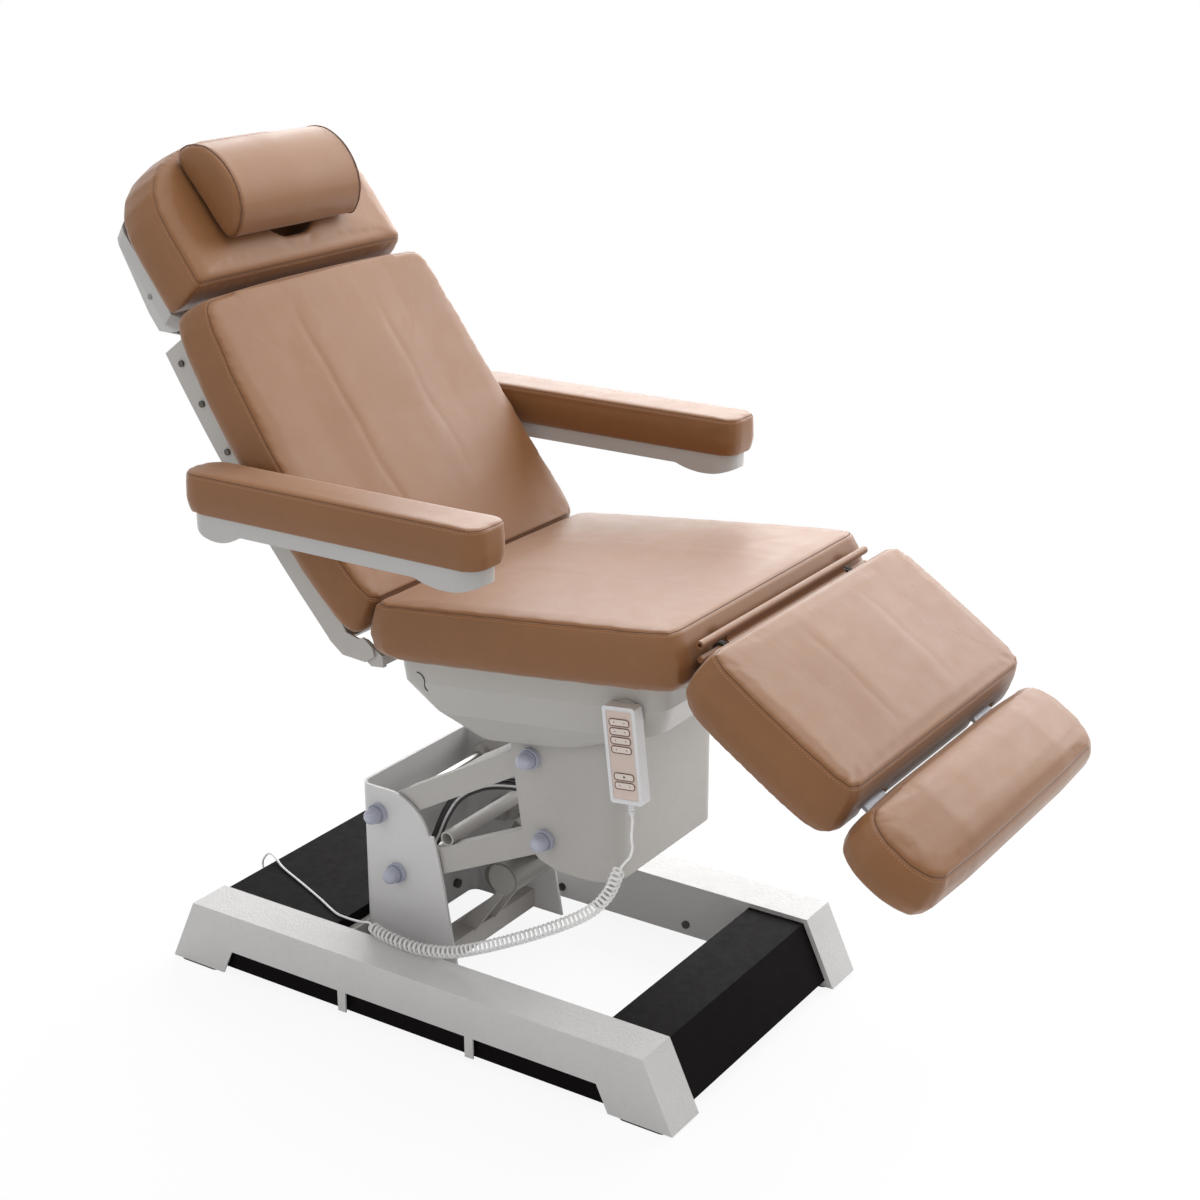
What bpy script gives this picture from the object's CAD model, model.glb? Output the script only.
import bpy
import bmesh
import math
import random
import time
from mathutils import Matrix, Vector, kdtree, noise
from mathutils.bvhtree import BVHTree


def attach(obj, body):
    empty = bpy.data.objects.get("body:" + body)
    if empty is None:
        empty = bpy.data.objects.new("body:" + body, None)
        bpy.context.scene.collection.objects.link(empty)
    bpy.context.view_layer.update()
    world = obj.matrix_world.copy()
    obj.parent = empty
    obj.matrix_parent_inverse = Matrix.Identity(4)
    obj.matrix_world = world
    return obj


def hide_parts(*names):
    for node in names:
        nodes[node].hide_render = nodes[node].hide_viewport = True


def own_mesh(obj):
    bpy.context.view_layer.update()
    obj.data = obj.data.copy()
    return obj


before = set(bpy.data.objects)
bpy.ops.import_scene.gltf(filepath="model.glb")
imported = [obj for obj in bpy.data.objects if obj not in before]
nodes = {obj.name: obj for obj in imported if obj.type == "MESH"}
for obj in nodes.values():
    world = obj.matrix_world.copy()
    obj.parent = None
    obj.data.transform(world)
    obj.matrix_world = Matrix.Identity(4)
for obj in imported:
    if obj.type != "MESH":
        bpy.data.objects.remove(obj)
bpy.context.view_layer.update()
scene = bpy.context.scene
random.seed(4)
clothOn = True
# The part of the cloth run's movement that the covers take, so that they stay as smooth as in the photo
clothShare = 0.3


def tint(r, g, b):
    return tuple((((c / 255) + 0.055) / 1.055) ** 2.4 if c > 10 else c / 3295 for c in (r, g, b)) + (1,)


# Camera, floor and light

cameraSettings = {"eye": (-2.6949, -1.7959, 1.8712), "look": (0.788, 0.516, -0.335), "lens": 63.15}
cameraData = bpy.data.cameras.new("photoCamera")
cameraData.lens = cameraSettings["lens"]
cameraData.sensor_width = 36
cameraData.sensor_fit = "HORIZONTAL"
cameraData.clip_end = 60
camera = bpy.data.objects.new("photoCamera", cameraData)
scene.collection.objects.link(camera)
camera.location = cameraSettings["eye"]
camera.rotation_euler = Vector(cameraSettings["look"]).to_track_quat("-Z", "Y").to_euler()
scene.camera = camera
scene.view_settings.view_transform = "Standard"

worldSettings = {"strength": 0.55}
world = bpy.data.worlds.new("studioWorld")
scene.world = world
world.use_nodes = True
worldTree = world.node_tree
worldTree.nodes.clear()
pathNode = worldTree.nodes.new("ShaderNodeLightPath")
anyNode = worldTree.nodes.new("ShaderNodeMath")
anyNode.operation = "MAXIMUM"
anyOther = worldTree.nodes.new("ShaderNodeMath")
anyOther.operation = "MAXIMUM"
strengthNode = worldTree.nodes.new("ShaderNodeMapRange")
strengthNode.inputs["To Min"].default_value = worldSettings["strength"]
strengthNode.inputs["To Max"].default_value = 1
backNode = worldTree.nodes.new("ShaderNodeBackground")
backNode.inputs["Color"].default_value = (1, 1, 1, 1)
worldOut = worldTree.nodes.new("ShaderNodeOutputWorld")
worldTree.links.new(pathNode.outputs["Is Camera Ray"], anyNode.inputs[0])
worldTree.links.new(pathNode.outputs["Is Glossy Ray"], anyNode.inputs[1])
worldTree.links.new(anyNode.outputs[0], anyOther.inputs[0])
worldTree.links.new(pathNode.outputs["Is Transmission Ray"], anyOther.inputs[1])
worldTree.links.new(anyOther.outputs[0], strengthNode.inputs["Value"])
worldTree.links.new(strengthNode.outputs[0], backNode.inputs["Strength"])
worldTree.links.new(backNode.outputs[0], worldOut.inputs[0])

floorMesh = bpy.data.meshes.new("studioFloor")
floorBuild = bmesh.new()
bmesh.ops.create_circle(floorBuild, cap_ends=True, segments=96, radius=4.5)
floorBuild.to_mesh(floorMesh)
floorBuild.free()
floor = bpy.data.objects.new("studioFloor", floorMesh)
scene.collection.objects.link(floor)
floor.location = (0, 0, -0.0006)
floorPaint = bpy.data.materials.new("studioFloor")
floorPaint.use_nodes = True
floorTree = floorPaint.node_tree
floorTree.nodes.clear()
floorPath = floorTree.nodes.new("ShaderNodeLightPath")
floorDiffuse = floorTree.nodes.new("ShaderNodeBsdfDiffuse")
floorDiffuse.inputs["Color"].default_value = (0.86, 0.86, 0.86, 1)
floorGlow = floorTree.nodes.new("ShaderNodeEmission")
floorPlace = floorTree.nodes.new("ShaderNodeTexCoord")
floorFar = floorTree.nodes.new("ShaderNodeVectorMath")
floorFar.operation = "LENGTH"
floorFade = floorTree.nodes.new("ShaderNodeMapRange")
floorFade.inputs["From Min"].default_value = 0.9
floorFade.inputs["From Max"].default_value = 2.6
floorFade.inputs["To Min"].default_value = 0.9
floorTree.links.new(floorPlace.outputs["Object"], floorFar.inputs[0])
floorTree.links.new(floorFar.outputs["Value"], floorFade.inputs["Value"])
floorShare = floorTree.nodes.new("ShaderNodeMath")
floorShare.operation = "MULTIPLY"
floorTree.links.new(floorFade.outputs[0], floorShare.inputs[1])
floorMix = floorTree.nodes.new("ShaderNodeMixShader")
floorOut = floorTree.nodes.new("ShaderNodeOutputMaterial")
floorTree.links.new(floorPath.outputs["Is Camera Ray"], floorShare.inputs[0])
floorTree.links.new(floorShare.outputs[0], floorMix.inputs[0])
floorTree.links.new(floorDiffuse.outputs[0], floorMix.inputs[1])
floorTree.links.new(floorGlow.outputs[0], floorMix.inputs[2])
floorTree.links.new(floorMix.outputs[0], floorOut.inputs[0])
floorMesh.materials.append(floorPaint)

lampSettings = [
    {"name": "overhead", "at": (0.2, -0.6, 4.3), "to": (0, 0, 0.6), "size": (3.4, 3.4), "power": 72},
    {"name": "side", "at": (-3.6, 1.2, 2.6), "to": (0, 0, 0.6), "size": (2.6, 2.6), "power": 17},
    {"name": "front", "at": (-1.5, -4.2, 2.4), "to": (0, 0, 0.6), "size": (2.6, 2.6), "power": 5},
    {"name": "far", "at": (4.3, 0.4, 3.0), "to": (0, 0, 0.7), "size": (7.8, 3.8), "power": 405},
]
for lamp in lampSettings:
    lampData = bpy.data.lights.new(lamp["name"], "AREA")
    lampData.shape = "RECTANGLE"
    lampData.size, lampData.size_y = lamp["size"]
    lampData.energy = lamp["power"]
    lampObject = bpy.data.objects.new(lamp["name"], lampData)
    scene.collection.objects.link(lampObject)
    lampObject.location = lamp["at"]
    lampObject.rotation_euler = (Vector(lamp["to"]) - Vector(lamp["at"])).to_track_quat("-Z", "Y").to_euler()
print("stage: camera and light made")


# Shared ways of making meshes

def addObject(name, mesh):
    made = bpy.data.objects.new(name, mesh)
    scene.collection.objects.link(made)
    return made


def bake(name, source):
    graph = bpy.context.evaluated_depsgraph_get()
    mesh = bpy.data.meshes.new_from_object(source.evaluated_get(graph))
    mesh.name = name
    return mesh


def tube(name, points, radius, closed=False, roundness=3):
    line = bpy.data.curves.new(name + "Line", "CURVE")
    line.dimensions = "3D"
    line.bevel_depth = radius
    line.bevel_resolution = roundness
    line.use_fill_caps = True
    spline = line.splines.new("POLY")
    spline.points.add(len(points) - 1)
    for item, point in zip(spline.points, points):
        item.co = (*point, 1)
    spline.use_cyclic_u = closed
    scratch = addObject(name + "Line", line)
    bpy.context.view_layer.update()
    mesh = bake(name, scratch)
    bpy.data.objects.remove(scratch)
    mesh.shade_smooth()
    return addObject(name, mesh)


def finishMesh(name, build, smooth=True):
    bmesh.ops.recalc_face_normals(build, faces=build.faces)
    mesh = bpy.data.meshes.new(name)
    build.to_mesh(mesh)
    build.free()
    if smooth:
        mesh.shade_smooth()
    return addObject(name, mesh)


def softenEdges(obj, width, segments=2, angle=30):
    edge = obj.modifiers.new("edges", "BEVEL")
    edge.width = width
    edge.segments = segments
    edge.limit_method = "ANGLE"
    edge.angle_limit = math.radians(angle)
    edge.harden_normals = False
    edge.use_clamp_overlap = True


def curveThrough(points, steps):
    # Catmull-Rom points, as in the source of the solids
    made = []
    last = len(points) - 1
    for i in range(last):
        a, b = points[max(0, i - 1)], points[i]
        c, d = points[min(last, i + 1)], points[min(last, i + 2)]
        for s in range(steps):
            t = s / steps
            made.append(0.5 * ((2 * b) + (c - a) * t + (2 * a - 5 * b + 4 * c - d) * t * t
                               + (3 * b - a - 3 * c + d) * t ** 3))
    return made + [points[last]]


def runs(points):
    found = [0.0]
    for a, b in zip(points, points[1:]):
        found.append(found[-1] + (b - a).length)
    return found


def along(points, lengths, s):
    s = min(max(s, 0), lengths[-1])
    low, high = 0, len(lengths) - 1
    while high - low > 1:
        middle = (low + high) // 2
        low, high = (middle, high) if lengths[middle] <= s else (low, middle)
    part = (s - lengths[low]) / max(1e-9, lengths[high] - lengths[low])
    return points[low].lerp(points[high], part)


# The frame's origin lies this far from the origin of the solids' source, in millimetres along y
originShift = 157


class Place:
    # A section's own frame: across, along its length, and out of its face, all in millimetres
    def __init__(self, y, z, angle):
        self.y, self.z, self.angle = y, z, math.radians(angle)

    def at(self, x, v, w):
        c, s = math.cos(self.angle), math.sin(self.angle)
        return Vector((x, self.y + v * c - w * s + originShift, self.z + v * s + w * c)) / 1000

    def local(self, p):
        c, s = math.cos(self.angle), math.sin(self.angle)
        y, z = p.y * 1000 - originShift - self.y, p.z * 1000 - self.z
        return Vector((p.x * 1000, y * c + z * s, -y * s + z * c))


seatPlace = Place(51.97, 760.77, -6.3)
backPlace = Place(50.21, 760.0, 53.3)
legPlace = Place(-567.51, 810.25, 33.6)
footPlace = Place(-818.80, 626.49, 33.6)
headPlace = Place(406.51, 1226.09, 52.9)
armPlace = Place(260.75, 887.44, 0)


# Materials

class Value:
    # An output in a material's graph; arithmetic on it adds Math nodes
    def __init__(self, paint, socket):
        self.paint = paint
        self.socket = socket

    def calc(self, operation, a, b):
        return self.paint.add("ShaderNodeMath", {"operation": operation}, {0: a, 1: b})

    def __add__(self, other):
        return self.calc("ADD", self, other)

    def __radd__(self, other):
        return self.calc("ADD", other, self)

    def __sub__(self, other):
        return self.calc("SUBTRACT", self, other)

    def __rsub__(self, other):
        return self.calc("SUBTRACT", other, self)

    def __mul__(self, other):
        return self.calc("MULTIPLY", self, other)

    def __rmul__(self, other):
        return self.calc("MULTIPLY", other, self)

    def __abs__(self):
        return self.calc("ABSOLUTE", self, 0.0)

    def least(self, other):
        return self.calc("MINIMUM", self, other)


class Paint:
    def __init__(self, name, constants):
        self.material = bpy.data.materials.new(name)
        self.material.use_nodes = True
        tree = self.material.node_tree
        self.nodes, self.links = tree.nodes, tree.links
        self.shader = self.nodes["Principled BSDF"]
        for key, value in constants.items():
            self.shader.inputs[key].default_value = value
        self.place = self.add("ShaderNodeTexCoord", {}, {}, "Object")
        self.bumped = None

    def add(self, kind, settings, values, out=0):
        node = self.nodes.new(kind)
        for key, value in settings.items():
            setattr(node, key, value)
        for key, value in values.items():
            self.feed(node.inputs[key], value)
        return Value(self, node.outputs[out])

    def feed(self, socket, value):
        if isinstance(value, Value):
            self.links.new(value.socket, socket)
        else:
            socket.default_value = value

    def noise(self, scale, detail=2.0, vector=None):
        return self.add("ShaderNodeTexNoise", {},
                        {"Vector": vector or self.place, "Scale": scale, "Detail": detail})

    def cells(self, scale, vector=None):
        return self.add("ShaderNodeTexVoronoi", {"feature": "SMOOTH_F1"},
                        {"Vector": vector or self.place, "Scale": scale, "Smoothness": 0.35}, "Distance")

    def stretched(self, factors):
        return self.add("ShaderNodeVectorMath", {"operation": "MULTIPLY"}, {0: self.place, 1: factors})

    def fade(self, x, start, end, low=0.0, high=1.0):
        return self.add("ShaderNodeMapRange", {"interpolation_type": "SMOOTHSTEP"},
                        {0: x, 1: start, 2: end, 3: low, 4: high})

    def mix(self, share, a, b):
        return self.add("ShaderNodeMix", {"data_type": "RGBA"}, {0: share, 6: a, 7: b}, 2)

    def axis(self, name):
        return self.add("ShaderNodeSeparateXYZ", {}, {0: self.place}, name)

    def mark(self, name):
        return self.add("ShaderNodeAttribute", {"attribute_name": name}, {}, "Fac")

    def bump(self, height, distance, strength=1.0):
        values = {"Strength": strength, "Distance": distance, "Height": height}
        if self.bumped:
            values["Normal"] = self.bumped
        self.bumped = self.add("ShaderNodeBump", {}, values)

    def finish(self, color, roughness=None):
        self.feed(self.shader.inputs["Base Color"], color)
        if roughness is not None:
            self.feed(self.shader.inputs["Roughness"], roughness)
        if self.bumped:
            self.feed(self.shader.inputs["Normal"], self.bumped)
        return self.material


leatherSettings = {
    "tone": tint(131, 87, 49), "deep": tint(125, 82, 46), "pale": tint(139, 94, 56),
    "groove": tint(70, 38, 20),
    "pore": 900, "poreDepth": 0.00010, "pullDepth": 0.0004, "grooveDepth": 0.0008, "grooveHalf": 0.0009,
}


def leatherPaint(name, seams):
    s = leatherSettings
    p = Paint(name, {"Specular IOR Level": 0.4, "Sheen Weight": 0.22, "Sheen Roughness": 0.4})
    broad = p.noise(3.0, 2)
    fine = p.noise(32, 4)
    pore = p.cells(s["pore"])
    grain = p.noise(240, 5)
    color = p.mix(p.fade(broad, 0.3, 0.7), s["deep"], s["tone"])
    color = p.mix(p.fade(fine, 0.5, 0.8) * 0.3, color, s["pale"])
    color = p.mix(p.fade(pore, 0.28, 0.05) * 0.12, color, s["groove"])
    rough = 0.42 + p.fade(fine, 0.3, 0.8) * 0.06 + p.fade(grain, 0.3, 0.8) * 0.04
    p.bump(pore, s["poreDepth"], 0.5)
    p.bump(grain, 0.0002, 0.3)
    p.bump(p.noise(7, 2), 0.0014, 0.2)
    if seams:
        level = p.mark("level")
        run = p.mark("run")
        reach = p.add("ShaderNodeCombineXYZ", {}, {0: run * 48, 1: level * 10, 2: 0.0})
        pull = p.noise(1.0, 2, reach)
        near = 1 - p.fade(abs(level), 0.002, 0.026)
        p.bump(pull * near, s["pullDepth"], 0.7)
        groove = 1 - p.fade(abs(level), s["grooveHalf"] * 0.35, s["grooveHalf"])
        p.bump(1 - groove, s["grooveDepth"], 0.9)
        color = p.mix(groove * 0.7, color, s["groove"])
        rough = rough + groove * 0.2
    return p.finish(color, rough)


def coatPaint(name, base, other, settings):
    # Painted or moulded surface: settings give the grain's size and depth in metres, and the wear
    p = Paint(name, settings.get("constants", {}))
    broad = p.noise(3.2, 3)
    fine = p.noise(60, 4)
    grain = p.cells(1 / settings["grain"])
    speck = p.noise(0.45 / settings["grain"], 4)
    color = p.mix(p.fade(broad, 0.3, 0.7) * 0.7, base, other)
    color = p.mix(p.fade(fine, 0.5, 0.8) * 0.35, color, other)
    color = p.mix(p.fade(speck, 0.62, 0.8) * settings.get("fleck", 0.1), color, tint(120, 118, 114))
    if "darkAbout" in settings:
        # The lugs round the leg hinge are dark: the place is the hinge's line, then the reach in metres
        hingeY, hingeZ, reach = settings["darkAbout"]
        dy, dz = p.axis("Y") - hingeY, p.axis("Z") - hingeZ
        away = p.add("ShaderNodeMath", {"operation": "SQRT"}, {0: dy * dy + dz * dz})
        color = p.mix(1 - p.fade(away, reach, reach + 0.002), color, tint(40, 38, 38))
    rough = settings["rough"] + p.fade(fine, 0.3, 0.8) * 0.08 + p.fade(speck, 0.4, 0.7) * 0.05
    p.bump(grain, settings["depth"], settings.get("strength", 0.5))
    p.bump(speck, settings["depth"] * 0.7, 0.35)
    p.bump(broad, 0.003, 0.15)
    return p.finish(color, rough)


def metalPaint(name, base, other, rough, lay=(4, 240, 240)):
    p = Paint(name, {"Metallic": 1.0})
    brushed = p.noise(6, 4, p.stretched(lay))
    fine = p.noise(90, 4)
    color = p.mix(p.fade(brushed, 0.3, 0.75) * 0.6, base, other)
    color = p.mix(p.fade(fine, 0.55, 0.85) * 0.3, color, tint(96, 92, 88))
    p.bump(brushed, 0.00012, 0.4)
    return p.finish(color, rough + p.fade(fine, 0.3, 0.8) * 0.12)


def capPaint(name, centres):
    # Turned plastic cap: rings about the pivots' axes, which run across the object
    p = Paint(name, {"Coat Weight": 0.25, "Coat Roughness": 0.2})
    y, z = p.axis("Y"), p.axis("Z")
    away = None
    for cy, cz in centres:
        dy, dz = y - cy, z - cz
        far = p.add("ShaderNodeMath", {"operation": "SQRT"}, {0: dy * dy + dz * dz})
        away = far if away is None else away.least(far)
    ring = 1 - p.fade(abs(away - 0.0153), 0.0004, 0.0011)
    fine = p.noise(70, 4)
    color = p.mix(p.fade(fine, 0.4, 0.75) * 0.5, tint(178, 181, 196), tint(160, 164, 182))
    color = p.mix(ring * 0.7, color, tint(104, 108, 124))
    p.bump(fine, 0.0002, 0.3)
    p.bump(1 - ring, 0.0006, 0.6)
    return p.finish(color, 0.3 + p.fade(fine, 0.3, 0.8) * 0.1)


def woodPaint(name):
    p = Paint(name, {"Specular IOR Level": 0.3})
    plies = p.add("ShaderNodeTexWave", {"bands_direction": "Z"},
                  {"Vector": p.place, "Scale": 90.0, "Distortion": 1.2, "Detail": 2.0})
    fibre = p.noise(30, 5, p.stretched((2, 26, 8)))
    color = p.mix(p.fade(fibre, 0.3, 0.7), tint(196, 160, 114), tint(172, 134, 90))
    color = p.mix(plies * 0.25, color, tint(134, 98, 62))
    p.bump(fibre, 0.0004, 0.4)
    return p.finish(color, 0.62 + p.fade(fibre, 0.3, 0.7) * 0.12)


paints = {
    "leather": leatherPaint("leather", True),
    "leatherPlain": leatherPaint("leatherPlain", False),
    "railCoat": coatPaint("railCoat", tint(204, 203, 202), tint(194, 193, 192),
                          {"grain": 0.0042, "depth": 0.0008, "strength": 0.55, "rough": 0.42, "fleck": 0.12}),
    "bracketCoat": coatPaint("bracketCoat", tint(212, 211, 211), tint(204, 202, 202),
                             {"grain": 0.0016, "depth": 0.0003, "rough": 0.45, "fleck": 0.08}),
    "greyCoat": coatPaint("greyCoat", tint(180, 177, 173), tint(172, 168, 164),
                          {"grain": 0.0016, "depth": 0.0003, "rough": 0.45, "fleck": 0.08}),
    "hingeCoat": coatPaint("hingeCoat", tint(180, 177, 173), tint(172, 168, 164),
                           {"grain": 0.0016, "depth": 0.0003, "rough": 0.45, "fleck": 0.08,
                            "darkAbout": (*seatPlace.at(0, -582, -46).yz, 0.034)}),
    "shellPlastic": coatPaint("shellPlastic", tint(182, 180, 176), tint(176, 173, 169),
                              {"grain": 0.0011, "depth": 0.00012, "rough": 0.34, "fleck": 0.05}),
    "whitePlastic": coatPaint("whitePlastic", tint(182, 180, 178), tint(176, 174, 171),
                              {"grain": 0.0009, "depth": 0.00008, "rough": 0.3, "fleck": 0.04}),
    "casePlastic": coatPaint("casePlastic", tint(224, 224, 226), tint(216, 216, 218),
                             {"grain": 0.0008, "depth": 0.00006, "rough": 0.28, "fleck": 0.03}),
    "blackCoat": coatPaint("blackCoat", tint(14, 11, 11), tint(18, 15, 16),
                           {"grain": 0.0013, "depth": 0.00022, "rough": 0.58, "fleck": 0.0,
                            "constants": {"Specular IOR Level": 0.04}}),
    "motorCoat": coatPaint("motorCoat", tint(150, 147, 142), tint(134, 131, 127),
                           {"grain": 0.0014, "depth": 0.0002, "rough": 0.4}),
    "actuatorCoat": coatPaint("actuatorCoat", tint(122, 116, 108), tint(104, 98, 91),
                              {"grain": 0.0014, "depth": 0.0002, "rough": 0.32}),
    "darkPlastic": coatPaint("darkPlastic", tint(52, 50, 50), tint(42, 40, 40),
                             {"grain": 0.001, "depth": 0.00012, "rough": 0.5, "fleck": 0.05}),
    "panelFilm": coatPaint("panelFilm", tint(214, 196, 186), tint(205, 186, 175),
                           {"grain": 0.0007, "depth": 0.00005, "rough": 0.4, "fleck": 0.05}),
    "keyFilm": coatPaint("keyFilm", tint(226, 214, 206), tint(216, 202, 194),
                         {"grain": 0.0006, "depth": 0.00005, "rough": 0.38, "fleck": 0.05}),
    "keyLine": coatPaint("keyLine", tint(112, 76, 60), tint(98, 64, 50),
                         {"grain": 0.0006, "depth": 0.00005, "rough": 0.5, "fleck": 0.05}),
    "barPlastic": coatPaint("barPlastic", tint(206, 208, 220), tint(192, 195, 208),
                            {"grain": 0.0011, "depth": 0.0001, "rough": 0.3, "fleck": 0.05}),
    "rubber": coatPaint("rubber", tint(38, 37, 37), tint(50, 48, 47),
                        {"grain": 0.0012, "depth": 0.0002, "rough": 0.7, "fleck": 0.1}),
    "thread": coatPaint("thread", tint(186, 140, 108), tint(168, 120, 88),
                        {"grain": 0.0006, "depth": 0.0001, "rough": 0.6, "fleck": 0.02}),
    "piping": coatPaint("piping", tint(122, 79, 50), tint(106, 67, 42),
                        {"grain": 0.0008, "depth": 0.0001, "rough": 0.48, "fleck": 0.02}),
    "cordSkin": coatPaint("cordSkin", tint(240, 240, 240), tint(230, 229, 228),
                          {"grain": 0.0008, "depth": 0.00006, "rough": 0.42, "fleck": 0.06}),
    "steel": metalPaint("steel", tint(190, 188, 184), tint(160, 157, 152), 0.3),
    "darkSteel": metalPaint("darkSteel", tint(96, 92, 88), tint(74, 70, 66), 0.36),
    "frontCap": capPaint("frontCap", [(-0.0029, 0.4981), (-0.0290, 0.3595)]),
    "rearCap": capPaint("rearCap", [(0.3180, 0.3180), (0.2810, 0.2150)]),
    "wood": woodPaint("wood"),
}
print("stage: materials made")


def dress(obj, paint):
    obj.data.materials.clear()
    obj.data.materials.append(paints[paint])


# Materials of the solids that stay in view, with the width of their softened edges in millimetres
solidLooks = {
    "base_rail_right": ("railCoat", 1.2), "base_rail_left": ("railCoat", 1.2),
    "rail_skirts": ("blackCoat", 0),
    "front_cross_cover": ("blackCoat", 1.5), "rear_cross_cover": ("blackCoat", 1.5),
    "rear_cross_beam": ("greyCoat", 1), "foot_pads": ("rubber", 0.6), "base_screws": ("darkSteel", 0.3),
    "lift_bracket": ("bracketCoat", 0.8), "cross_angle": ("greyCoat", 0.6), "rear_pivot_pins": ("steel", 0.3),
    "rear_pivot_caps": ("rearCap", 0), "control_unit": ("darkPlastic", 1), "cord_gland": ("darkPlastic", 0.2),
    "upper_link": ("greyCoat", 0.8), "lower_link": ("greyCoat", 0.8), "column_housing": ("greyCoat", 0),
    "front_pivot_pins": ("steel", 0.3), "front_pivot_caps": ("frontCap", 0),
    "lift_actuator": ("actuatorCoat", 0),
    "lift_motor": ("motorCoat", 0), "lift_rod": ("steel", 0), "seat_frame": ("hingeCoat", 0),
    "seat_board": ("wood", 0), "seat_shell": ("shellPlastic", 0), "handset_holder": ("whitePlastic", 0.4),
    "back_actuator": ("motorCoat", 0), "leg_actuator": ("motorCoat", 0), "back_frame": ("greyCoat", 0),
    "back_board": ("wood", 0), "back_screws": ("darkSteel", 0.2), "armrest_brackets": ("greyCoat", 0),
    "back_rod": ("steel", 0), "leg_frame": ("hingeCoat", 0), "leg_rod": ("steel", 0),
    "foot_bars": ("barPlastic", 0.8), "head_shell": ("whitePlastic", 0), "hinge_roll": ("leatherPlain", 0),
    "armrest_shell_right": ("whitePlastic", 0), "armrest_shell_left": ("whitePlastic", 0),
    "handset_case": ("casePlastic", 0.6), "handset_panel": ("panelFilm", 0.2),
    "strain_relief": ("casePlastic", 0.2),
    "key_1": ("keyFilm", 0.3), "key_2": ("keyFilm", 0.3), "key_3": ("keyFilm", 0.3),
    "key_4": ("keyFilm", 0.3), "key_5": ("keyFilm", 0.3), "key_6": ("keyFilm", 0.3),
}
for name, (paint, edge) in solidLooks.items():
    dress(nodes[name], paint)
    if edge:
        softenEdges(nodes[name], edge / 1000)


# Cord: the lead with its curls, and the tail that lies on the rear cover

cordSettings = {"diameter": 0.004, "curlDiameter": 0.022, "curls": 60, "steps": 16, "endRun": 0.010}
leadRoute = [(-243, -403.9, 506), (-243, -405.17, 493.01), (-243, -406.17, 484.01), (-242, -404, 455),
             (-241, -405, 438), (-240, -400, 420), (-238, -391, 409), (-237, -386, 402)]
curlRoute = [(-237, -386, 402), (-236, -376, 386), (-235, -358, 344), (-235, -324, 303), (-235, -267, 262),
             (-235, -189, 216), (-235, -107, 173), (-236, -45, 146), (-238, 18, 134), (-235, 78, 133),
             (-224, 125, 133), (-212, 146, 133)]
tailRoute = [(-212, 146, 133), (-209, 154, 131), (-203, 178, 123), (-196, 218, 117), (-190, 244, 116.2),
             (-163, 304, 116.2), (-136, 369, 116.2), (-111, 432, 117), (-98, 458, 120), (-88, 478, 121),
             (-80, 496, 116), (-74, 510, 104), (-72, 519, 90), (-72, 518, 77), (-72, 511, 71), (-72, 507, 70)]


def inRow(route):
    return [Vector((x, y + originShift, z)) / 1000 for x, y, z in route]


curlLine = curveThrough(inRow(curlRoute), 4)
curlRuns = runs(curlLine)
curlLength = curlRuns[-1]
curlRadius = (cordSettings["curlDiameter"] - cordSettings["diameter"]) / 2
curlPoints = [along(curlLine, curlRuns, 0.004)]
turnSteps = cordSettings["curls"] * cordSettings["steps"]
for i in range(turnSteps + 1):
    s = cordSettings["endRun"] + (curlLength - 2 * cordSettings["endRun"]) * i / turnSteps
    centre = along(curlLine, curlRuns, s)
    ahead = (along(curlLine, curlRuns, s + 0.003) - along(curlLine, curlRuns, s - 0.003)).normalized()
    side = (Vector((1, 0, 0)) - ahead.x * ahead).normalized()
    up = ahead.cross(side)
    angle = 2 * math.pi * i / cordSettings["steps"]
    grown = min(1, min(i, turnSteps - i) / (0.75 * cordSettings["steps"]) + 0.05)
    curlPoints.append(centre + curlRadius * grown * (math.cos(angle) * side + math.sin(angle) * up))
curlPoints.append(along(curlLine, curlRuns, curlLength - 0.004))
curlPoints.append(curlLine[-1])
leadPoints = curveThrough(inRow(leadRoute), 5)[:-1] + [curlLine[0]] + curlPoints
tailPoints = list(reversed(curveThrough(inRow(tailRoute), 5)))

leadCord = tube("handsetCord", leadPoints, cordSettings["diameter"] / 2)
dress(leadCord, "cordSkin")
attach(leadCord, "base")
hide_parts("cord_lead", "cord_curls")
runs(leadPoints)[-1]
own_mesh(leadCord)

tailCord = tube("tailCord", tailPoints, cordSettings["diameter"] / 2)
dress(tailCord, "cordSkin")
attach(tailCord, "base")
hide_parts("cord_tail")
runs(tailPoints)[-1]
print("stage: cord made, metres of it:", round(runs(leadPoints)[-1], 3), round(runs(tailPoints)[-1], 3))


# Cushions: a copy of the solid, puffed by a short cloth run, then seams, folds and stitches

def mergedCopy(node):
    build = bmesh.new()
    build.from_mesh(nodes[node].data)
    bmesh.ops.remove_doubles(build, verts=build.verts, dist=0.00005)
    bmesh.ops.recalc_face_normals(build, faces=build.faces)
    return build


def meshTree(mesh):
    return BVHTree.FromPolygons([v.co for v in mesh.vertices], [tuple(p.vertices) for p in mesh.polygons])


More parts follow.
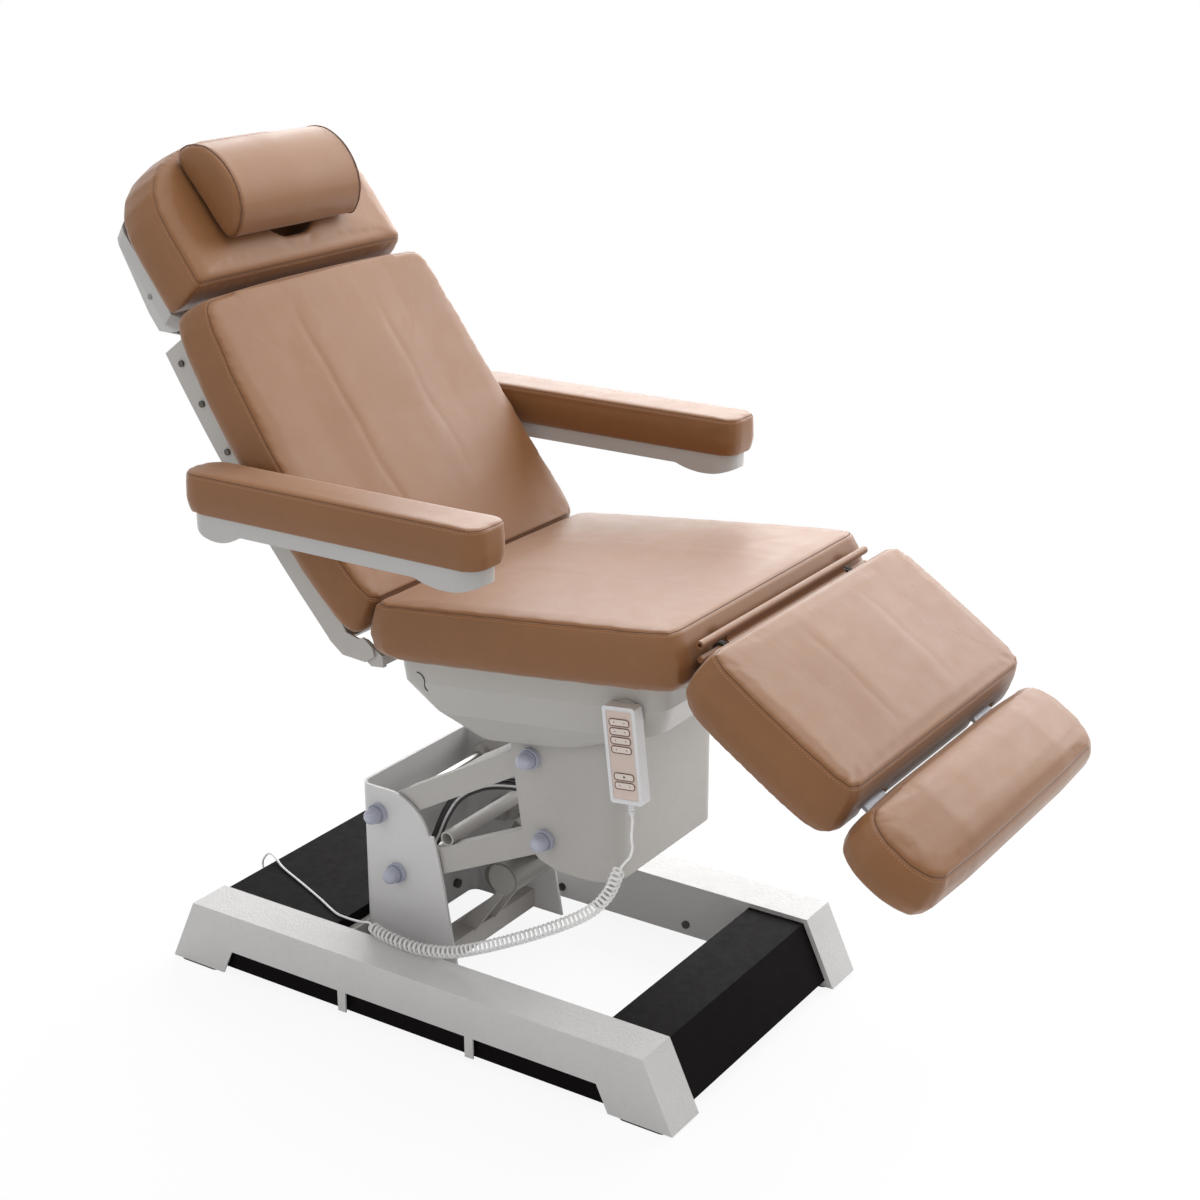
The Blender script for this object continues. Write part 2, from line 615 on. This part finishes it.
def boxRing(x0, x1, v0, v1, corner, out, step):
    # Points and inward directions on a rounded rectangle that is out wider than the given one
    made = []
    for cx, cv, start in ((x1 - corner, v1 - corner, 0), (x0 + corner, v1 - corner, 90),
                          (x0 + corner, v0 + corner, 180), (x1 - corner, v0 + corner, 270)):
        count = max(6, int(corner * math.pi / 2 / step))
        for k in range(count + 1):
            a = math.radians(start + 90 * k / count)
            made.append((cx + (corner + out) * math.cos(a), cv + (corner + out) * math.sin(a),
                         -math.cos(a), -math.sin(a)))
    ring = []
    for a, b in zip(made, made[1:] + made[:1]):
        gap = math.hypot(b[0] - a[0], b[1] - a[1])
        parts = max(1, int(gap / step))
        for k in range(parts):
            t = k / parts
            ring.append(tuple(p + (q - p) * t for p, q in zip(a, b)))
    return ring


def radialRing(cx, cv, reach, count):
    return [(cx + reach * math.cos(a), cv + reach * math.sin(a), -math.cos(a), -math.sin(a))
            for a in (2 * math.pi * k / count for k in range(count))]


def castRing(tree, place, ring, levelAt):
    found = []
    for x, v, dx, dv in ring:
        start = place.at(x, v, levelAt(v))
        heading = (place.at(x + dx, v + dv, levelAt(v)) - start).normalized()
        point, normal, _, _ = tree.ray_cast(start, heading)
        if point is not None:
            found.append((point, normal))
    return found


def endRing(tree, place, x, v, w):
    # Hits round a closed outline at one place across the piece, found from outside towards its middle
    found = []
    for k in range(240):
        a = 2 * math.pi * k / 240
        start = place.at(x, v + 400 * math.cos(a), w + 400 * math.sin(a))
        point, normal, _, _ = tree.ray_cast(start, (place.at(x, v, w) - start).normalized())
        if point is not None:
            found.append((point, normal))
    return found


def spaced(found, pitch, closed=True):
    # The hits at equal steps along their line
    items = found + found[:1] if closed else found
    points = [p for p, _ in items]
    lengths = runs(points)
    count = max(2, int(lengths[-1] / pitch))
    made = []
    k = 0
    for i in range(count if closed else count + 1):
        s = lengths[-1] * i / count
        while k < len(lengths) - 2 and lengths[k + 1] < s:
            k += 1
        t = (s - lengths[k]) / max(1e-9, lengths[k + 1] - lengths[k])
        point = items[k][0].lerp(items[k + 1][0], t)
        normal = items[k][1].lerp(items[k + 1][1], t).normalized()
        made.append((point, normal, s))
    return made


def stitches(name, line, shift, body, length=0.0036, width=0.00042):
    # A row of thread stitches beside a seam, shifted along the surface
    build = bmesh.new()
    for i in range(len(line)):
        point, normal, _ = line[i]
        ahead = (line[(i + 1) % len(line)][0] - line[i - 1][0]).normalized()
        side = normal.cross(ahead).normalized()
        normal = ahead.cross(side).normalized()
        basis = Matrix((ahead * length / 2, side * width, normal * width)).transposed().to_4x4()
        spot = Matrix.Translation(point + side * shift + normal * width * 0.35)
        bmesh.ops.create_uvsphere(build, u_segments=6, v_segments=4, radius=1, matrix=spot @ basis)
    made = finishMesh(name, build)
    dress(made, "thread")
    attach(made, body)
    return made


def roundSection(mesh, place, x, v, w):
    # Evens out the facets of a piece that has one outline all along its width
    tree = meshTree(mesh)
    reach = [(place.local(p) - Vector((x, v, w))).length for p, _ in endRing(tree, place, x, v, w)]
    count = len(reach)
    share = [math.exp(-(k / 5) ** 2) for k in range(-12, 13)]
    even = [sum(reach[(i + k - 12) % count] * g for k, g in enumerate(share)) / sum(share)
            for i in range(count)]
    for point in mesh.vertices:
        q = place.local(point.co)
        turn = math.atan2(q.z - w, q.y - v) / (2 * math.pi) * count
        i = int(math.floor(turn))
        t = turn - i
        a, b = i % count, (i + 1) % count
        ratio = (1 - t) * even[a] / reach[a] + t * even[b] / reach[b]
        point.co = place.at(q.x, v + (q.y - v) * ratio, w + (q.z - w) * ratio)


# The short cloth run; gripFade is the height over which the hold on the lower part fades, in millimetres
clothSettings = {"frames": 20, "quality": 3, "mass": 0.25, "tension": 14, "shear": 6, "bending": 2,
                 "shrink": 0.0015, "gripFade": 14}


def softPiece(s):
    name, place = s["name"], s["place"]
    begun = time.time()
    build = mergedCopy(s["node"])
    mesh = bpy.data.meshes.new(name)
    build.to_mesh(mesh)
    build.free()
    work = addObject(name + "Work", mesh)
    remesh = work.modifiers.new("voxels", "REMESH")
    remesh.mode = "VOXEL"
    remesh.voxel_size = s["voxel"]
    bpy.context.view_layer.update()
    coarse = bake(name + "Coarse", work)
    work.modifiers.clear()
    work.data = coarse
    build = bmesh.new()
    build.from_mesh(coarse)
    for factor in (0.5, -0.53) * s.get("smooth", 8):
        bmesh.ops.smooth_vert(build, verts=build.verts, factor=factor, use_axis_x=True, use_axis_y=True,
                              use_axis_z=True)
    build.to_mesh(coarse)
    build.free()
    if "rounded" in s:
        roundSection(coarse, place, s["rounded"], *s["middle"])
    rest = [v.co.copy() for v in coarse.vertices]
    outward = [v.normal.copy() for v in coarse.vertices]
    level = [place.local(c).z for c in rest]
    dip, dipStart, dipLength = s.get("dip", (0, 0, 1))

    def seamLevel(v):
        t = min(1, max(0, (v - dipStart) / dipLength))
        return s["seam"] - dip * (1 - (2 * t - 1) ** 2)

    levelOf = s.get("levelOf", lambda q: q.z - seamLevel(q.y))
    if clothOn:
        held = work.vertex_groups.new(name="held")
        for i, w in enumerate(level):
            grip = min(1.0, max(0.0, (s["gripTop"] - w) / clothSettings["gripFade"]))
            if grip > 0:
                held.add([i], grip, "REPLACE")
        for v, c, n in zip(coarse.vertices, rest, outward):
            free = min(1.0, max(0.0, (place.local(c).z - s["gripTop"]) / clothSettings["gripFade"]))
            v.co = c - n * clothSettings["shrink"] * free
        cloth = work.modifiers.new("puff", "CLOTH")
        c = cloth.settings
        c.quality = clothSettings["quality"]
        c.mass = clothSettings["mass"]
        c.tension_stiffness = c.compression_stiffness = clothSettings["tension"]
        c.shear_stiffness = clothSettings["shear"]
        c.bending_stiffness = clothSettings["bending"]
        c.use_pressure = True
        c.uniform_pressure_force = s.get("pressure", 4)
        c.vertex_group_mass = "held"
        c.effector_weights.gravity = 0
        cloth.collision_settings.use_collision = False
        cloth.point_cache.frame_start = 1
        cloth.point_cache.frame_end = clothSettings["frames"]
        for f in range(1, clothSettings["frames"] + 1):
            scene.frame_set(f)
        puffed = bake(name + "Puffed", work)
        moved = [v.co.copy() for v in puffed.vertices]
        scene.frame_set(1)
        work.modifiers.clear()
        cap = s["cap"]
        for v, c, n, m in zip(coarse.vertices, rest, outward, moved):
            shift = m - c
            if shift.length > cap:
                shift *= cap / shift.length
            over = shift.dot(n) - s.get("fuller", 0.0015)
            if over > 0:
                shift -= n * over
            v.co = c + shift * clothShare
        bpy.data.meshes.remove(puffed)
    work.vertex_groups.clear()
    finer = work.modifiers.new("finer", "SUBSURF")
    finer.levels = 1
    finer.render_levels = 1
    bpy.context.view_layer.update()
    final = bake(name, work)
    bpy.data.objects.remove(work)
    piece = addObject(name, final)

    tree = meshTree(final)
    if s.get("ends"):
        rings = [endRing(tree, place, x, *s["middle"]) for x in s["ends"]]
    else:
        ring = radialRing(*s["radial"], 900, 720) if s.get("radial") else boxRing(*s["box"], 30, 70, 6)
        rings = [castRing(tree, place, ring, seamLevel)]
    seams = [spaced(found, 0.002) for found in rings]
    seam = [item for line in seams for item in line]
    lines = [(line, s.get("groove", 0.0011), 0.003) for line in seams]
    for x, v0, v1, depth, spread in s.get("folds", ()):
        hits = []
        count = 60
        for k in range(count + 1):
            v = v0 + (v1 - v0) * k / count
            drift = s.get("wander", 7) * noise.noise(Vector((x * 0.01, v * 0.012, 2)))
            start = place.at(x + drift, v, 120)
            heading = (place.at(x + drift, v, 0) - start).normalized()
            point, normal, _, _ = tree.ray_cast(start, heading)
            if point is not None:
                hits.append((point, normal))
        lines.append((spaced(hits, 0.003, False), depth, spread))
    levelMark = final.attributes.new("level", "FLOAT", "POINT")
    runMark = final.attributes.new("run", "FLOAT", "POINT")
    levelMark.data.foreach_set("value", [levelOf(place.local(v.co)) / 1000 for v in final.vertices])
    find = kdtree.KDTree(len(seam))
    for i, (p, _, _) in enumerate(seam):
        find.insert(p, i)
    find.balance()
    near = [find.find(v.co) for v in final.vertices]
    runMark.data.foreach_set("value", [seam[i][2] for _, i, _ in near])
    normals = [v.normal.copy() for v in final.vertices]
    shifts = [0.0] * len(normals)
    for line, depth, spread in lines:
        find = kdtree.KDTree(len(line))
        for i, (p, _, _) in enumerate(line):
            find.insert(p, i)
        find.balance()
        ends = len(line) * 0.18
        for k, v in enumerate(final.vertices):
            _, i, gap = find.find(v.co)
            if gap < spread * 3:
                ease = 1 if line in seams else min(1.0, i / ends, (len(line) - 1 - i) / ends)
                shifts[k] += depth * ease * math.exp(-(gap / spread) ** 2)
    for v, n, d in zip(final.vertices, normals, shifts):
        if d > 0:
            v.co = v.co - n * d
    final.shade_smooth()
    dress(piece, "leather")
    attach(piece, s["body"])
    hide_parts(s["node"])
    if s.get("piping"):
        for i, line in enumerate(seams):
            welt = tube(name + "Piping" + str(i + 1), [p + n * 0.0008 for p, n, _ in line], s["piping"], True)
            dress(welt, "piping")
            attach(welt, s["body"])
    else:
        tree = meshTree(final)
        row = spaced(castRing(tree, place, ring, lambda v: seamLevel(v) + s.get("row", -4.2)), 0.0052)
        stitches(name + "Stitches", row, 0, s["body"])
    print("stage:", name, len(final.vertices), "points", round(time.time() - begun, 1), "s")
    return piece, tree


seatSoft = {"name": "seatPad", "node": "seat_cushion", "body": "seat", "place": seatPlace, "voxel": 0.007,
            "cap": 0.004, "gripTop": -66, "seam": -2.5, "box": (-294, 294, -556, -1),
            "folds": [(-98, -530, -60, 0.0003, 0.009), (98, -530, -60, 0.0002, 0.009)]}
backSoft = {"name": "backPad", "node": "back_cushion", "body": "back", "place": backPlace, "voxel": 0.007,
            "cap": 0.004, "gripTop": -58, "seam": -3.5, "box": (-286, 286, 2, 551), "dip": (14, 2, 549),
            "folds": [(-98, 60, 520, 0.0005, 0.008), (98, 60, 520, 0.0004, 0.008)]}
legSoft = {"name": "legPad", "node": "leg_cushion", "body": "leg", "place": legPlace, "voxel": 0.006,
           "cap": 0.004, "gripTop": -50, "seam": -3.5, "box": (-300, 300, -281, 0),
           "folds": [(-98, -255, -30, 0.0003, 0.008), (98, -255, -30, 0.00025, 0.008)]}
footSoft = {"name": "footPad", "node": "foot_cushion", "body": "foot", "place": footPlace, "voxel": 0.005,
            "cap": 0.004, "gripTop": -56, "seam": -4, "box": (-300, 300, -141, 0), "smooth": 14}
headSoft = {"name": "headPad", "node": "head_cushion", "body": "head", "place": headPlace, "voxel": 0.0052,
            "cap": 0.004, "gripTop": -66, "seam": -5, "radial": (0, 80), "smooth": 12}
armRightSoft = {"name": "armPadRight", "node": "armrest_pad_right", "body": "arm_right", "place": armPlace,
                "voxel": 0.0045, "cap": 0.004, "gripTop": 34, "seam": 70.5,
                "box": (-412, -325, -507, 73), "groove": 0.0007}
armLeftSoft = {"name": "armPadLeft", "node": "armrest_pad_left", "body": "arm_left", "place": armPlace,
               "voxel": 0.0045, "cap": 0.004, "gripTop": 34, "seam": 70.5,
               "box": (325, 412, -507, 73), "groove": 0.0007}
pillowSoft = {"name": "pillowPad", "node": "head_pillow", "body": "pillow", "place": headPlace,
              "voxel": 0.005, "cap": 0.004, "gripTop": 12, "ends": (-163.5, 133.5), "middle": (132, 30),
              "piping": 0.0012, "rounded": -15, "groove": 0.0012,
              "levelOf": lambda q: abs(q.x + 15) - 148.5}
softTrees = {}
for softSettings in (pillowSoft, seatSoft, backSoft, legSoft, footSoft, headSoft, armRightSoft, armLeftSoft):
    softTrees[softSettings["name"]] = softPiece(softSettings)[1]


# Smaller pieces

photoSize = 1200


def nodeTree(name):
    return meshTree(nodes[name].data)


def onPhoto(name, across, down):
    # The place on a solid that the photograph shows at this pixel
    focal = cameraSettings["lens"] / cameraData.sensor_width * photoSize
    forward = Vector(cameraSettings["look"]).normalized()
    right = forward.cross(Vector((0, 0, 1))).normalized()
    up = right.cross(forward)
    heading = (forward * focal + right * (across - photoSize / 2) - up * (down - photoSize / 2)).normalized()
    point, normal, _, _ = nodeTree(name).ray_cast(Vector(cameraSettings["eye"]), heading)
    return point, normal


def roundedBlock(name, place, low, high, corner, edge, body, paint):
    # A block of the place's frame with round corners as seen along x, and a softened outer rim
    build = bmesh.new()
    bmesh.ops.create_cube(build, size=1)
    for v in build.verts:
        v.co = Vector(((a + b) / 2 + (b - a) * c for a, b, c in zip(low, high, v.co)))
    long = [e for e in build.edges if abs(e.verts[0].co.x - e.verts[1].co.x) > 0.01]
    shared = {"offset_type": "OFFSET", "profile": 0.5, "affect": "EDGES", "clamp_overlap": True, "material": -1}
    bmesh.ops.bevel(build, geom=long, offset=corner, segments=6, **shared)
    rim = [e for e in build.edges if all(abs(v.co.x - low[0]) < 0.001 for v in e.verts)]
    bmesh.ops.bevel(build, geom=rim, offset=edge, segments=3, **shared)
    for v in build.verts:
        v.co = place.at(*v.co)
    made = finishMesh(name, build, False)
    dress(made, paint)
    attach(made, body)
    return made


def pill(place, x, v0, v1, w0, w1, corner, steps=6):
    made = []
    for cv, cw, start in ((v1 - corner, w1 - corner, 0), (v0 + corner, w1 - corner, 90),
                          (v0 + corner, w0 + corner, 180), (v1 - corner, w0 + corner, 270)):
        for k in range(steps + 1):
            a = math.radians(start + 90 * k / steps)
            made.append(place.at(x, cv + corner * math.cos(a), cw + corner * math.sin(a)))
    return made


def turned(name, point, normal, profile, body, paint, steps=24):
    # A turned piece: profile is [radius, height] along the normal, in millimetres
    build = bmesh.new()
    line = [build.verts.new((r / 1000, 0, h / 1000)) for r, h in profile]
    edges = [build.edges.new(pair) for pair in zip(line, line[1:])]
    bmesh.ops.spin(build, geom=line + edges, cent=(0, 0, 0), axis=(0, 0, 1), angle=2 * math.pi, steps=steps,
                   use_duplicate=False)
    bmesh.ops.remove_doubles(build, verts=build.verts, dist=0.00002)
    spot = Matrix.Translation(point) @ Vector(normal).to_track_quat("Z", "Y").to_matrix().to_4x4()
    bmesh.ops.transform(build, matrix=spot, verts=build.verts)
    made = finishMesh(name, build)
    dress(made, paint)
    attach(made, body)
    return made


handsetSettings = {"face": -254.4, "rear": -251, "middle": -425, "top": -138,
                   "rows": (25, 39.5, 54, 68.5, 112, 126.5),
                   "keyLength": 36, "keyHeight": 12, "corner": 4.6}
h = handsetSettings
for i, row in enumerate(h["rows"]):
    body = "key_" + str(i + 1) + "_body"
    v0, v1 = h["middle"] - h["keyLength"] / 2, h["middle"] + h["keyLength"] / 2
    w0, w1 = h["top"] - row - h["keyHeight"] / 2, h["top"] - row + h["keyHeight"] / 2
    key = roundedBlock("keyCap" + str(i + 1), seatPlace, (h["face"], v0, w0), (h["rear"], v1, w1), h["corner"],
                       0.35, body, "keyFilm")
    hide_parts("key_" + str(i + 1))
    edge = pill(seatPlace, h["face"] - 0.05, v0 + 0.5, v1 - 0.5, w0 + 0.5, w1 - 0.5, 4.2)
    outline = tube("keyOutline" + str(i + 1), edge, 0.0007, True, 2)
    dress(outline, "keyLine")
    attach(outline, body)
    if i != 4:
        for shift in (-9, 9):
            turned("keyDot" + str(i + 1) + ("a" if shift < 0 else "b"),
                   seatPlace.at(h["face"], h["middle"] + shift, (w0 + w1) / 2), (-1, 0, 0),
                   [(0, 0.22), (0.9, 0.2), (1.1, 0)], body, "keyLine", 12)
turned("keyLamp", seatPlace.at(h["face"], h["middle"], h["top"] - h["rows"][4]), (-1, 0, 0),
       [(0, 0.5), (1.1, 0.42), (1.7, 0.1), (1.8, 0)], "key_5_body", "darkPlastic", 16)
edge = pill(seatPlace, -254, h["middle"] - 23, h["middle"] + 23, h["top"] - 151, h["top"] - 6, 2.5)
rim = tube("panelRim", edge, 0.00045, True, 2)
dress(rim, "casePlastic")
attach(rim, "handset")

loomSettings = {"route": [(262, 226), (246, 250), (231.6, 278.4), (210, 326), (179.9, 367), (128, 399),
                          (65, 414.3), (12, 417)],
                "x": -110, "pitch": 5.4, "paints": ("darkPlastic", "cordSkin", "darkPlastic", "darkPlastic")}
for i, paint in enumerate(loomSettings["paints"]):
    route = [Vector((loomSettings["x"] + (i % 2) * 2.5, y, z)) / 1000 for y, z in loomSettings["route"]]
    shifted = []
    for k, point in enumerate(route):
        ahead = (route[min(k + 1, len(route) - 1)] - route[max(0, k - 1)]).normalized()
        shifted.append(point + ahead.cross(Vector((1, 0, 0))) * (i - 1.5) * loomSettings["pitch"] / 1000)
    strand = tube("loomStrand" + str(i + 1), curveThrough(shifted, 6), 0.0024 if i != 2 else 0.0031)
    dress(strand, paint)
    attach(strand, "upper_arm")

slitPoints = []
for across, down in ((417, 672), (421.5, 674.5), (424.5, 680), (425, 687), (428, 691)):
    point, normal = onPhoto("seat_shell", across, down)
    if point is not None:
        slitPoints.append(point + normal * 0.0002)
slit = tube("shellSlit", curveThrough(slitPoints, 5), 0.0011)
dress(slit, "darkPlastic")
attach(slit, "seat")
for side in (1, -1):
    start = headPlace.at(-400 * side, 41, -122)
    point, normal, _, _ = nodeTree("head_shell").ray_cast(start, Vector((side, 0, 0)))
    turned("headStud" + ("Right" if side > 0 else "Left"), point, normal,
           [(0, 0.9), (1.6, 0.9), (2.2, 2.4), (4.2, 2.2), (4.8, 1.2), (5.0, -0.6)], "head", "motorCoat")
print("stage: smaller pieces made")
